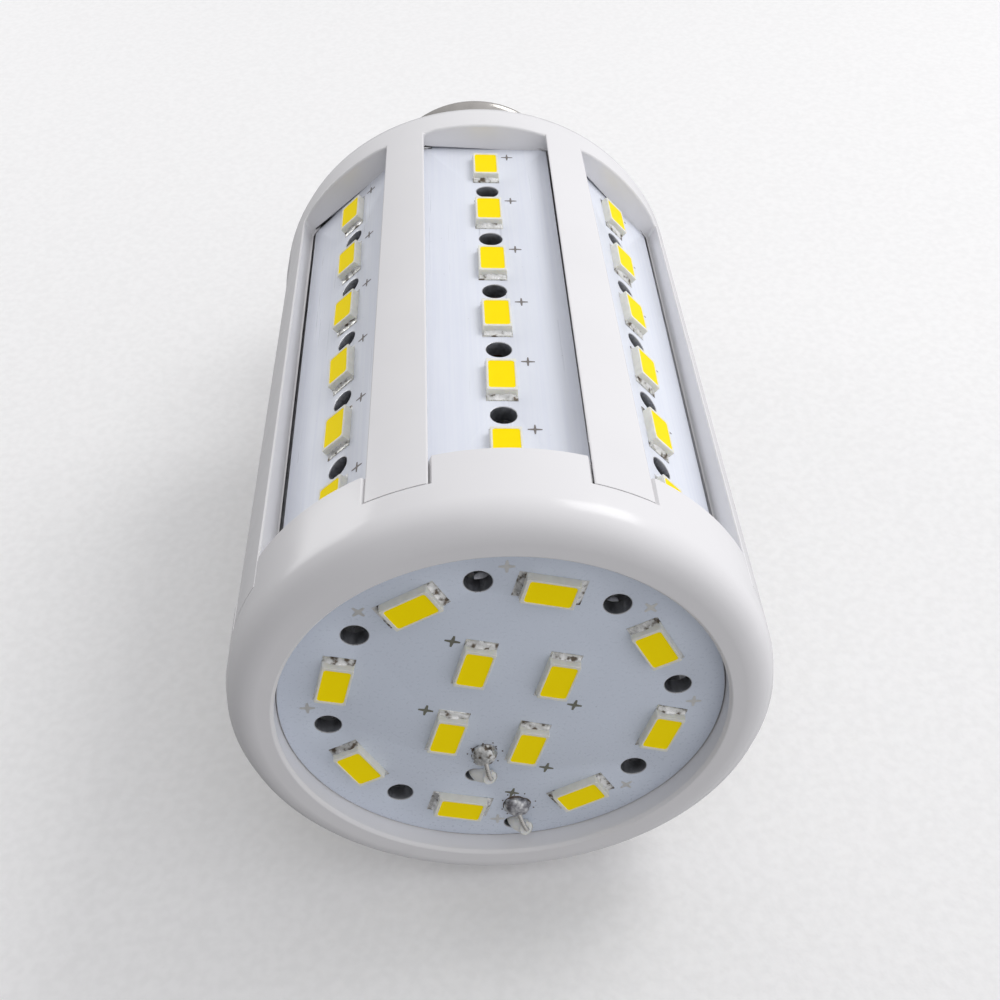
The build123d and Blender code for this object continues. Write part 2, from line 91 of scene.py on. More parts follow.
class Paint(Graph):
    """Node tree of one procedural material."""

    def __init__(self, name: str) -> None:
        """Starts a material of this name with a shader and an output."""
        self.material = bpy.data.materials.new(name)
        self.material.use_nodes = True
        super().__init__(self.material.node_tree)
        self.tree.nodes.clear()
        self.shader = self.add("ShaderNodeBsdfPrincipled")
        self.output = self.add("ShaderNodeOutputMaterial", {"Surface": self.shader.outputs[0]})
        self.place = self.add("ShaderNodeTexCoord").outputs["Object"]

    def coat(self, inputs: dict[str, object]) -> None:
        """Feeds the shader's inputs, by name."""
        for key, value in inputs.items():
            self.feed(value, self.shader.inputs[key])

    def shifted(self, shift: Triple, stretch: Triple = (1, 1, 1)) -> Socket:
        """The piece's own coordinates, shifted and scaled."""
        inputs = {"Vector": self.place, "Location": shift, "Scale": stretch}
        return self.out("ShaderNodeMapping", inputs)

    def noise(self, size: float, detail: float = 2.0, stretch: Triple = (1, 1, 1), seed: float = 0.0) -> Socket:
        """Noise over the piece.

        Args:
            size: size of its features in millimetres.
            detail: number of finer layers.
            stretch: factor on each axis; under 1 draws the features out along it.
            seed: shift that gives each use its own pattern.

        Returns:
            The socket of the noise's value, about 0.5 in the middle.
        """
        place = self.shifted((seed, seed * 0.7, -seed), stretch)
        return self.out("ShaderNodeTexNoise", {"Vector": place, "Scale": 1.0 / (size * MM), "Detail": detail})

    def specks(self, spacing: float, radius: float, seed: float, strength: float) -> Socket:
        """Small scattered dots.

        Args:
            spacing: mean distance between dots in millimetres.
            radius: radius of a dot in millimetres.
            seed: shift of the pattern.
            strength: value inside a dot.

        Returns:
            A socket with that value in a dot and 0 elsewhere.
        """
        inputs = {"Vector": self.shifted((seed, seed, seed)), "Scale": 1.0 / (spacing * MM)}
        share = radius / spacing
        stops = (share * 0.6, (1, 1, 1)), (share, (0, 0, 0))
        dots = self.ramp(self.out("ShaderNodeTexVoronoi", inputs), *stops)
        return self.between(dots, 0.0, strength, 0.0, 1.0)

    def ramp(self, factor: Socket, *stops: tuple[float, Triple]) -> Socket:
        """Colour ramp over a factor, from its stops of position and colour."""
        node = self.add("ShaderNodeValToRGB", {"Fac": factor})
        elements = node.color_ramp.elements
        for index, (position, colour) in enumerate(stops):
            stop = elements[index] if index < 2 else elements.new(position)
            stop.position, stop.color = position, (*colour, 1.0)
        return node.outputs["Color"]

    def between(self, factor: Socket, low: float, high: float, start: float = 0.3, end: float = 0.7) -> Socket:
        """Value that runs from low to high as the factor goes from start to end."""
        inputs = {"Value": factor, "From Min": start, "From Max": end, "To Min": low, "To Max": high}
        return self.out("ShaderNodeMapRange", inputs)

    def mix(self, factor: object, first: object, second: object) -> Socket:
        """Mix of two colours, each a socket or a plain colour, by a socket or a number."""
        return self.add("ShaderNodeMix", {0: factor, 6: first, 7: second}, data_type="RGBA").outputs[2]

    def bump(self, *layers: tuple[Socket, float]) -> None:
        """Chains bumps onto the shader, each from a height socket and a depth in millimetres."""
        below = {}
        for height, depth in layers:
            inputs = {"Strength": 1.0, "Distance": depth * MM, "Height": height, **below}
            below = {"Normal": self.out("ShaderNodeBump", inputs)}
        self.coat(below)


@dataclass(frozen=True)
class Finish:
    """Finish of one kind of surface: a faint mottle here, more in the subclasses."""

    name: str
    slot: str
    colour: Triple
    roughness: float = 0.4

    def material(self) -> bpy.types.Material:
        """Material of this finish, made at its first use."""
        known = bpy.data.materials.get(self.name)
        if known:
            return known
        paint = Paint(self.name)
        paint.coat({"Roughness": self.roughness})
        self.lay(paint)
        return paint.material

    def lay(self, paint: Paint) -> None:
        """Lays the finish's nodes."""
        paint.coat({"Base Color": self.mottle(paint, 3.0, 0.06)})

    def toned(self, factor: float) -> Triple:
        """The colour made darker or lighter by a factor."""
        return tuple(min(1.0, c * factor) for c in self.colour)

    def mottle(self, paint: Paint, size: float, share: float) -> Socket:
        """The colour, varied by a share over features of a size in millimetres."""
        return paint.ramp(paint.noise(size, 3.0), (0.3, self.toned(1 - share)), (0.7, self.toned(1 + share)))

    def polish(self, paint: Paint, pattern: Socket, low: float, high: float) -> None:
        """Varies the roughness over a pattern, between two factors."""
        paint.coat({"Roughness": paint.between(pattern, self.roughness * low, self.roughness * high)})


@dataclass(frozen=True)
class MouldedPlastic(Finish):
    """Glossy moulded plastic with a faint waviness and a few specks of dust."""

    dust: float = 0.35

    def lay(self, paint: Paint) -> None:
        """Lays colour, dust, roughness and moulding waviness."""
        dust = paint.specks(7.0, 0.09, 0.3, self.dust)
        paint.coat({"Base Color": paint.mix(dust, self.mottle(paint, 9.0, 0.012), DUST)})
        self.polish(paint, paint.noise(5.0, 4.0, seed=0.11), 0.8, 1.35)
        paint.bump((paint.noise(6.0, 1.0, seed=0.2), 0.03), (paint.noise(0.25, 2.0, seed=0.4), 0.0015))


@dataclass(frozen=True)
class SolderMask(Finish):
    """White solder mask over milled aluminium, whose lines run along one way."""

    grain: Triple = (1, 1, 0.02)
    shade: Triple = (0.55, 0.60, 0.70)

    def lay(self, paint: Paint) -> None:
        """Lays the mask's colour, its milled lines, broad stains and fine grains."""
        lines, broad = paint.noise(0.35, 3.0, self.grain, 0.05), paint.noise(6.0, 3.0, seed=0.6)
        tone = paint.mix(paint.between(lines, 0.0, 0.30, 0.42, 0.66), self.colour, self.shade)
        tone = paint.mix(paint.between(broad, 0.0, 0.15), tone, self.toned(0.9))
        paint.coat({"Base Color": paint.mix(paint.specks(1.6, 0.07, 0.9, 0.35), tone, GRAIN)})
        self.polish(paint, lines, 0.8, 1.3)
        paint.bump((lines, 0.006), (paint.noise(0.12, 2.0, seed=0.7), 0.002))


@dataclass(frozen=True)
class BareMetal(Finish):
    """Bare or plated metal with fine scratches along one way and dull patches."""

    grain: Triple = (1, 1, 1)
    scratch: float = 0.25
    depth: float = 0.003
    tarnish: Triple = (0.35, 0.33, 0.30)
    stains: float = 0.25

    def lay(self, paint: Paint) -> None:
        """Lays the metal, its tarnish, scratches and roughness."""
        patches = paint.between(paint.noise(1.4, 4.0, seed=0.8), 0.0, self.stains, 0.5, 0.75)
        tone = paint.mix(patches, self.mottle(paint, 2.0, 0.05), self.tarnish)
        paint.coat({"Metallic": 1.0, "Base Color": tone})
        lines = paint.noise(self.scratch, 3.0, self.grain, 0.2)
        self.polish(paint, lines, 0.7, 1.5)
        paint.bump((lines, self.depth))


@dataclass(frozen=True)
class SolderedMetal(Finish):
    """Tinned, wrinkled solder with flux left in its hollows."""

    flux: Triple = (0.16, 0.13, 0.10)

    def lay(self, paint: Paint) -> None:
        """Lays bright tin, dull hollows and a crinkled surface."""
        hollows = paint.noise(0.7, 4.0, seed=0.3)
        tone = paint.ramp(hollows, (0.36, self.flux), (0.47, self.colour), (0.68, BRIGHT_TIN))
        paint.coat({"Metallic": 1.0, "Base Color": tone})
        self.polish(paint, hollows, 1.7, 0.7)
        paint.bump((paint.noise(0.5, 2.0, seed=0.9), 0.06))


@dataclass(frozen=True)
class PhosphorGel(Finish):
    """Yellow silicone gel full of fine grains, given a faint painted glow by emission although the lamp is off.
    """

    glow: Triple = (1.0, 0.86, 0.0)
    painted_glow_strength: float = 0.14

    def lay(self, paint: Paint) -> None:
        """Lays the gel's grains, its clouds of a deeper tone and its faint painted glow, an emission that
        stands in for light.
        """
        grains, deep = paint.noise(0.06, 2.0), self.toned(0.90)
        tone = paint.ramp(grains, (0.35, deep), (0.65, self.colour))
        cloud = paint.between(paint.noise(1.1, 2.0, seed=0.5), 0.0, 0.25)
        # The emission is a painted glow: it brightens the gel although the lamp is off and gives no light.
        paint.coat({"Base Color": paint.mix(cloud, tone, deep), "Specular IOR Level": 0.06,
                    "Emission Color": self.glow, "Emission Strength": self.painted_glow_strength})
        paint.bump((grains, 0.004))


@dataclass(frozen=True)
class MilkyResin(Finish):
    """Slightly translucent moulded resin of a package body or a wire's insulation."""

    depth: float = 0.25
    spread: Triple = (0.0006, 0.0005, 0.0003)

    def lay(self, paint: Paint) -> None:
        """Lays a soft mottle, some light through the resin and a fine tooth."""
        paint.coat({"Base Color": self.mottle(paint, 0.8, 0.05), "Subsurface Weight": self.depth,
                    "Subsurface Radius": self.spread, "Subsurface Scale": 1.0})
        paint.bump((paint.noise(0.10, 2.0), 0.003))


@dataclass(frozen=True)
class WovenGlass(Finish):
    """Printed-circuit laminate with its woven glass showing faintly."""

    def lay(self, paint: Paint) -> None:
        """Lays two crossed sets of threads under the mask's colour."""
        across, along = paint.noise(0.5, 1.0, (1, 1, 0.05)), paint.noise(0.5, 1.0, (0.05, 1, 1), 0.4)
        weave = paint.mix(0.5, across, along)
        paint.coat({"Base Color": paint.ramp(weave, (0.4, self.toned(0.8)), (0.6, self.colour))})
        paint.bump((weave, 0.01))


# Colours of dust, of the mask's grains and of tin, and stretches of a metal's scratches.
DUST, GRAIN, BRIGHT_TIN = (0.30, 0.29, 0.28), (0.30, 0.30, 0.33), (0.92, 0.92, 0.90)
EVEN, LENGTHWISE, TURNED = (1, 1, 1), (1, 1, 0.1), (1, 1, 14)
HOUSING = MouldedPlastic("housing_gloss_white", "housing_white", (0.84, 0.83, 0.835), 0.20)
MASK = SolderMask("strip_solder_mask", "board_white", (0.82, 0.85, 0.92), 0.34, shade=(0.73, 0.76, 0.87))
# The disc's mask is plain, without milled lines, and darker than the strips' mask as painted shade on the disc,
# which faces away from the light.
DISC_MASK_SHADED = SolderMask(
    "disc_solder_mask", "board_white", (0.72, 0.78, 0.88), 0.30, EVEN, (0.705, 0.765, 0.865))
ALUMINIUM = BareMetal("board_aluminium", "board_white", (0.62, 0.63, 0.65), 0.34, LENGTHWISE)
# Hole walls: drilled aluminium made darker than the bare metal and given wide dark patches, as painted shade
# inside the holes.
DRILLED_AND_SHADED = BareMetal(
    "drilled_aluminium", "board_white", (0.44, 0.45, 0.48), 0.42, EVEN, 0.2, 0.01, (0.14, 0.14, 0.15), 0.7)
RESIN = MilkyResin("package_resin", "led_body", (0.84, 0.83, 0.74), 0.32)
PHOSPHOR = PhosphorGel("phosphor_yellow", "phosphor", (0.98, 0.74, 0.0), 0.5)
SOLDER = SolderedMetal("tinned_solder", "solder", (0.70, 0.70, 0.68), 0.30)
DULL_SOLDER = SolderedMetal("dull_solder", "solder", (0.46, 0.46, 0.48), 0.42, (0.22, 0.21, 0.22))
PRINT = Finish("marking_ink_grey", "board_white", (0.20, 0.18, 0.17), 0.5)
DISC_PRINT = Finish("marking_ink_olive", "board_white", (0.17, 0.17, 0.13), 0.5)
TINNED_MARK = BareMetal("tinned_mark", "solder", (0.80, 0.80, 0.78), 0.42)
INSULATION = MilkyResin("wire_insulation_white", "wire_sleeve", (0.80, 0.80, 0.77), 0.42)
COPPER = BareMetal("tinned_copper", "wire_core", (0.66, 0.64, 0.60), 0.28, EVEN, 0.15)
FLUX = Finish("flux_residue", "solder", (0.10, 0.07, 0.05), 0.25)
NICKEL = BareMetal("cap_nickel", "cap_metal", (0.50, 0.48, 0.45), 0.16, TURNED, 0.5, 0.002)
DARK_GLASS = MouldedPlastic("cap_dark_glass", "insulator_dark", (0.025, 0.022, 0.025), 0.12, 0.1)
CONTACT = BareMetal("contact_tinned_brass", "contact_metal", (0.74, 0.68, 0.55), 0.26, EVEN, 0.3)
CIRCUIT = {
    "driver_board": WovenGlass("driver_laminate", "circuit_board", (0.08, 0.26, 0.13), 0.4),
    "electrolytic_capacitor": MouldedPlastic("capacitor_sleeve", "capacitor_can", (0.03, 0.04, 0.07), 0.3, 0.1),
    "film_capacitor": MouldedPlastic("film_capacitor_red", "component_film", (0.45, 0.10, 0.06), 0.25, 0.1),
    "bridge_rectifier": Finish("component_black", "component_dark", (0.03, 0.03, 0.032), 0.5),
    "driver_resistors": MouldedPlastic("resistor_coat", "component_dark", (0.10, 0.16, 0.22), 0.4, 0.1),
    "cap_live_lead": MilkyResin("cap_wire_red", "wire_core", (0.40, 0.05, 0.04), 0.45, 0.1),
    "cap_shell_lead": COPPER}


def publish(name: str, mesh: Mesh, finishes: Sequence[Finish], *nodes: str) -> None:
    """Puts a finished mesh into the scene as a piece of the lamp.

    Args:
        name: name of the piece.
        mesh: its mesh, in metres in the lamp's frame.
        finishes: its finishes, in the order of the mesh's material numbers.
        nodes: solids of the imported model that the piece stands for.
    """
    mesh.name = name
    for index, finish in enumerate(finishes):
        if index < len(mesh.materials):
            mesh.materials[index] = finish.material()
        else:
            mesh.materials.append(finish.material())
    piece = bpy.data.objects.new(name, mesh)
    bpy.context.scene.collection.objects.link(piece)
    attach(piece, "root")
    if nodes:
        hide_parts(*nodes)
    log.info("%s: %d faces", name, len(mesh.polygons))


def baked(mesh: Mesh, *modifiers: tuple[str, dict]) -> Mesh:
    """Runs modifiers on a mesh.

    Args:
        mesh: the mesh to start from.
        modifiers: kind and settings of each; a key such as Socket_2 is an input of a Geometry Nodes tree.

    Returns:
        A new mesh with the modifiers applied.
    """
    holder = bpy.data.objects.new("holder", mesh)
    bpy.context.scene.collection.objects.link(holder)
    for kind, settings in modifiers:
        modifier = holder.modifiers.new(kind, kind)
        for key, value in settings.items():
            if key.startswith("Socket_"):
                modifier[key] = value
            else:
                setattr(modifier, key, value)
    bpy.context.view_layer.update()
    graph = bpy.context.evaluated_depsgraph_get()
    result = bpy.data.meshes.new_from_object(holder.evaluated_get(graph), depsgraph=graph)
    bpy.data.objects.remove(holder)
    return result


def smooth(mesh: Mesh, angle: float) -> Mesh:
    """Shades a mesh smooth, with edges over an angle in degrees kept sharp, and returns it."""
    mesh.shade_smooth()
    mesh.set_sharp_from_angle(angle=math.radians(angle))
    return mesh


def eased_copy(node: str, width: float, share: Callable[[float, float], float]) -> Mesh:
    """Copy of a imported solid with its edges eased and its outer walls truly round.

    Args:
        node: name of the solid.
        width: width of the easing in millimetres.
        share: share of it that an edge gets, from its smallest radius and its height in millimetres.

    Returns:
        The new mesh.
    """
    shell = bmesh.new()
    shell.from_mesh(NODES[node].data)
    bmesh.ops.remove_doubles(shell, verts=shell.verts, dist=1e-6)
    bmesh.ops.dissolve_limit(shell, angle_limit=math.radians(FLAT), verts=shell.verts, edges=shell.edges,
                             use_dissolve_boundaries=False)
    weights = shell.edges.layers.float.new("bevel_weight_edge")
    for edge in shell.edges:
        if len(edge.link_faces) == 2 and edge.calc_face_angle(0.0) > math.radians(CRISP):
            radius = min(vertex.co.xy.length for vertex in edge.verts) / MM
            height = sum(vertex.co.z for vertex in edge.verts) / 2 / MM
            edge[weights] = share(radius, height)
            edge.smooth = edge[weights] > 0
    for face in shell.faces:
        face.smooth = True
    bevel = dict(width=width * MM, segments=3, limit_method="WEIGHT", use_clamp_overlap=False)
    eased = baked(poured(shell, node), ("BEVEL", bevel), ("WEIGHTED_NORMAL", dict(keep_sharp=True)))
    return turned_normals(eased)


def turned_normals(mesh: Mesh) -> Mesh:
    """Points the normals of the outer walls exactly away from the lamp's axis, as on a turned surface."""
    normals = []
    for corner, loop in zip(mesh.corner_normals, mesh.loops):
        normal, place = corner.vector.copy(), mesh.vertices[loop.vertex_index].co
        lean = normal.xy.length
        if lean > UPRIGHT and (place.xy.length > OUTSIDE * MM or place.z > SHOULDER * MM):
            away = place.xy.normalized()
            if normal.xy.dot(away) > NEARLY_AWAY * lean:
                normal = Vector((*(away * lean), normal.z))
        normals.append(normal)
    mesh.normals_split_custom_set(normals)
    return mesh


def poured(shell: Shell, name: str) -> Mesh:
    """Writes a shell into a new mesh and frees it."""
    mesh = bpy.data.meshes.new(name)
    shell.to_mesh(mesh)
    shell.free()
    return mesh


def mesh_of(shell: Shell, name: str) -> Mesh:
    """Turns a shell in millimetres into a mesh in metres with its faces outwards."""
    bmesh.ops.recalc_face_normals(shell, faces=shell.faces)
    bmesh.ops.scale(shell, vec=(MM, MM, MM), verts=shell.verts)
    return poured(shell, name)


def joined(name: str, parts: Sequence[tuple[Mesh, int]]) -> Mesh:
    """One mesh of several, from each part and the material number of its faces."""
    shell = bmesh.new()
    for mesh, number in parts:
        before = len(shell.faces)
        shell.from_mesh(mesh)
        shell.faces.ensure_lookup_table()
        for face in shell.faces[before:]:
            face.material_index = number
    return poured(shell, name)


def plane_matrix(origin: Vector, x_dir: Vector, z_dir: Vector) -> Matrix:
    """Matrix of a plane in metres, from its origin in millimetres, its x direction and its normal."""
    x_axis, z_axis = x_dir.normalized(), z_dir.normalized()
    matrix = Matrix((x_axis, z_axis.cross(x_axis), z_axis)).transposed().to_4x4()
    matrix.translation = origin * MM
    return matrix


def polar(radius: float, degrees: float) -> Pair:
    """Point at a radius and an angle in degrees."""
    turn = math.radians(degrees)
    return radius * math.cos(turn), radius * math.sin(turn)


def spun(name: str, section: Sequence[Pair], steps: int = 96) -> Mesh:
    """Closed shell of a section turned round Z.

    Args:
        name: name of the mesh.
        section: corners of radius and height in millimetres; it is closed, or starts and ends on the axis.
        steps: faces round.

    Returns:
        The mesh.
    """
    shell = bmesh.new()
    rings = []
    for step in range(steps):
        across, up = polar(1.0, 360 * step / steps)
        rings.append([shell.verts.new((r * across, r * up, z)) for r, z in section])
    on_axis = section[0][0] == 0 and section[-1][0] == 0
    for ring, after in zip(rings, rings[1:] + rings[:1]):
        for i in range(len(section) - on_axis):
            k = (i + 1) % len(section)
            shell.faces.new((ring[i], after[i], after[k], ring[k]))
    bmesh.ops.remove_doubles(shell, verts=shell.verts, dist=1e-5)
    return mesh_of(shell, name)


def arc(centre: Pair, radius: float, start: float, end: float, steps: int) -> list[Pair]:
    """Points of an arc in a section, from its centre, radius and two angles in degrees."""
    points = [polar(radius, start + (end - start) * i / steps) for i in range(steps + 1)]
    return [(centre[0] + x, centre[1] + y) for x, y in points]


def rounded_loop(shell: Shell, length: float, width: float, radius: float, z: float) -> list:
    """Adds the corners of a rounded rectangle at height z to a shell and returns them in order."""
    across, along = length / 2 - radius, width / 2 - radius
    points = []
    for index, (sx, sy) in enumerate(((1, 1), (-1, 1), (-1, -1), (1, -1))):
        points += arc((sx * across, sy * along), radius, 90 * index, 90 * (index + 1), 3)
    return [shell.verts.new((*point, z)) for point in points]


def skin(shell: Shell, loops: Sequence[list]) -> None:
    """Joins loops of equally many corners by faces, and caps the first and the last."""
    for low, high in zip(loops, loops[1:]):
        for i in range(len(low)):
            k = (i + 1) % len(low)
            shell.faces.new((low[i], low[k], high[k], high[i]))
    shell.faces.new(list(reversed(loops[0])))
    shell.faces.new(loops[-1])


def pierced_plate(outline: Sequence[Pair], holes: Sequence[Triple], thickness: float) -> Mesh:
    """Flat plate with round holes, its face on z = 0 and a small bright edge round it and its holes.

    Args:
        outline: corners of the plate in millimetres.
        holes: x, y and radius of each hole.
        thickness: thickness of the plate.

    Returns:
        A mesh whose mask face has material 0, whose bare metal has 1 and whose hole walls have 2, where the
        boards lay a finish darkened as painted shade.
    """
    shell = bmesh.new()
    rounds = [arc((x, y), r, 0, 360 - 360 / HOLE_SIDES, HOLE_SIDES - 1) for x, y, r in holes]
    edges = []
    for loop in [outline] + rounds:
        corners = [shell.verts.new((x, y, 0)) for x, y in loop]
        edges += [shell.edges.new(pair) for pair in zip(corners, corners[1:] + corners[:1])]
    faces = bmesh.ops.triangle_fill(shell, edges=edges, use_beauty=True, normal=UP)["geom"]
    faces = [face for face in faces if isinstance(face, bmesh.types.BMFace)]
    grown = bmesh.ops.extrude_face_region(shell, geom=faces)["geom"]
    moved = [corner for corner in grown if isinstance(corner, bmesh.types.BMVert)]
    bmesh.ops.translate(shell, vec=(0, 0, -thickness), verts=moved)
    bmesh.ops.recalc_face_normals(shell, faces=shell.faces)
    for face in shell.faces:
        middle = face.calc_center_median()
        in_hole = any(math.hypot(middle.x - x, middle.y - y) < r * 1.01 for x, y, r in holes)
        face.material_index = 0 if face.normal.z > 0.9 and middle.z > -0.1 else 2 if in_hole else 1
    mesh = mesh_of(shell, "plate")
    for _ in range(3):
        mesh.materials.append(None)
    bevel = dict(width=0.09 * MM, segments=2, limit_method="ANGLE", angle_limit=math.radians(50), material=1,
                 use_clamp_overlap=False)
    return smooth(baked(mesh, ("BEVEL", bevel)), 40)


class Layout(Enum):
    """Rule by which a tree places its copies on a board's plane."""

    ROW = "row"
    RING = "ring"
    BLOCK = "block"


class Tree(Graph):
    """Geometry Nodes tree with named inputs, built call by call."""

    def __init__(self, name: str) -> None:
        """Starts an empty tree with a geometry input and output."""
        super().__init__(bpy.data.node_groups.new(name, "GeometryNodeTree"))
        for way in ("INPUT", "OUTPUT"):
            self.tree.interface.new_socket("Geometry", in_out=way, socket_type="NodeSocketGeometry")
        self.entry, self.exit = self.add("NodeGroupInput"), self.add("NodeGroupOutput")
        self.values: dict[str, object] = {"node_group": self.tree}

    def inputs(self, values: dict[str, object]) -> list[Socket]:
        """Adds named inputs with the values that the modifier gives them, and returns their sockets."""
        for name, value in values.items():
            kind = {int: "Int", float: "Float", list: "Vector"}.get(type(value), "Material")
            item = self.tree.interface.new_socket(name, in_out="INPUT", socket_type="NodeSocket" + kind)
            self.values[item.identifier] = value
        return [self.entry.outputs[name] for name in values]

    def split(self, vector: Socket) -> Sequence[Socket]:
        """The x, y and z of a vector."""
        return self.add("ShaderNodeSeparateXYZ", {"Vector": vector}).outputs

    def joint(self, **parts: Socket) -> Socket:
        """Vector from its X, Y and Z."""
        return self.out("ShaderNodeCombineXYZ", parts)

    def vector(self, operation: str, *values: object, **named: object) -> bpy.types.bpy_prop_collection:
        """Outputs of a vector operation."""
        inputs = {**dict(enumerate(values)), **named}
        return self.add("ShaderNodeVectorMath", inputs, operation=operation).outputs

    def grow(self, mesh: Mesh, geometry: Socket, finish: Finish) -> Mesh:
        """Ends the tree with its finish, runs it on a mesh and returns the plain result."""
        material, = self.inputs({"Finish": finish.material()})
        real = self.out("GeometryNodeRealizeInstances", {"Geometry": geometry})
        dressed = self.out("GeometryNodeSetMaterial", {"Geometry": real, "Material": material})
        self.feed(dressed, self.exit.inputs[0])
        return baked(mesh, ("NODES", self.values))


@dataclass
class Placing:
    """Places of repeated pieces on a board, in millimetres and degrees."""

    layout: Layout
    count: int
    start: Triple
    step: Triple
    turn: float = 0.0
    turn_step: float = 0.0
    wander_turn: float = 1.6
    wander: float = 0.06
    seed: int = 1
    crinkle: float = 0.0
    crinkle_scale: float = 900.0
    flat_below: float = 0.02

    def repeat(self, name: str, element: Mesh, finish: Finish) -> Mesh:
        """Repeats an element at the places with Geometry Nodes.

        Args:
            name: name of the tree.
            element: mesh of one element, on z = 0.
            finish: its finish.

        Returns:
            One mesh with all the copies.
        """
        tree = Tree(name)
        count, start, step, turn, turn_step, loose, shift, seed = tree.inputs({
            "Count": self.count, "Start": [c * MM for c in self.start], "Step": [c * MM for c in self.step],
            "Turn": math.radians(self.turn), "Turn per copy": math.radians(self.turn_step),
            "Loose turn": math.radians(self.wander_turn), "Loose shift": self.wander * MM, "Seed": self.seed})
        long, wide, _ = tree.split(step)
        kind, sizes = {
            Layout.ROW: ("Line", {"Count": count, "Start Location": start, "Offset": step}),
            Layout.RING: ("Circle", {"Vertices": count, "Radius": long}),
            Layout.BLOCK: ("Grid", {"Size X": long, "Size Y": wide, "Vertices X": 2, "Vertices Y": 2}),
        }[self.layout]
        index = tree.out("GeometryNodeInputIndex")
        draw = {"ID": index, "Seed": seed, "Min": (-1, -1, -1)}
        x, y, spin = tree.split(tree.out("FunctionNodeRandomValue", draw, data_type="FLOAT_VECTOR"))
        angle = tree.math("MULTIPLY_ADD", spin, loose, tree.math("MULTIPLY_ADD", index, turn_step, turn))
        turned = tree.out("FunctionNodeEulerToRotation", {"Euler": tree.joint(Z=angle)})
        copies = tree.out("GeometryNodeInstanceOnPoints", {
            "Points": tree.out("GeometryNodeMesh" + kind, sizes), "Instance": tree.entry.outputs[0],
            "Rotation": turned})
        off = tree.joint(X=tree.math("MULTIPLY", x, shift), Y=tree.math("MULTIPLY", y, shift))
        moved = {"Instances": copies, "Translation": off, "Local Space": False}
        geometry = tree.out("GeometryNodeTranslateInstances", moved)
        if self.crinkle:
            geometry = self.crinkled(tree, geometry, seed)
        return tree.grow(element, geometry, finish)

    def crinkled(self, tree: Tree, copies: Socket, seed: Socket) -> Socket:
        """Moves the corners of the copies a little, each copy in its own way, and returns the geometry."""
        depth, = tree.inputs({"Crinkle": self.crinkle * MM})
        real = tree.out("GeometryNodeRealizeInstances", {"Geometry": copies})
        waves = {"Scale": self.crinkle_scale, "Detail": 1.0, "W": seed}
        lumps = tree.add("ShaderNodeTexNoise", waves, noise_dimensions="4D").outputs["Color"]
        centred = tree.vector("SUBTRACT", lumps, (0.5, 0.5, 0.5))[0]
        height = tree.split(tree.out("GeometryNodeInputPosition"))["Z"]
        return tree.out("GeometryNodeSetPosition", {
            "Geometry": real, "Selection": tree.math("GREATER_THAN", height, self.flat_below * MM),
            "Offset": tree.vector("SCALE", centred, Scale=depth)[0]})


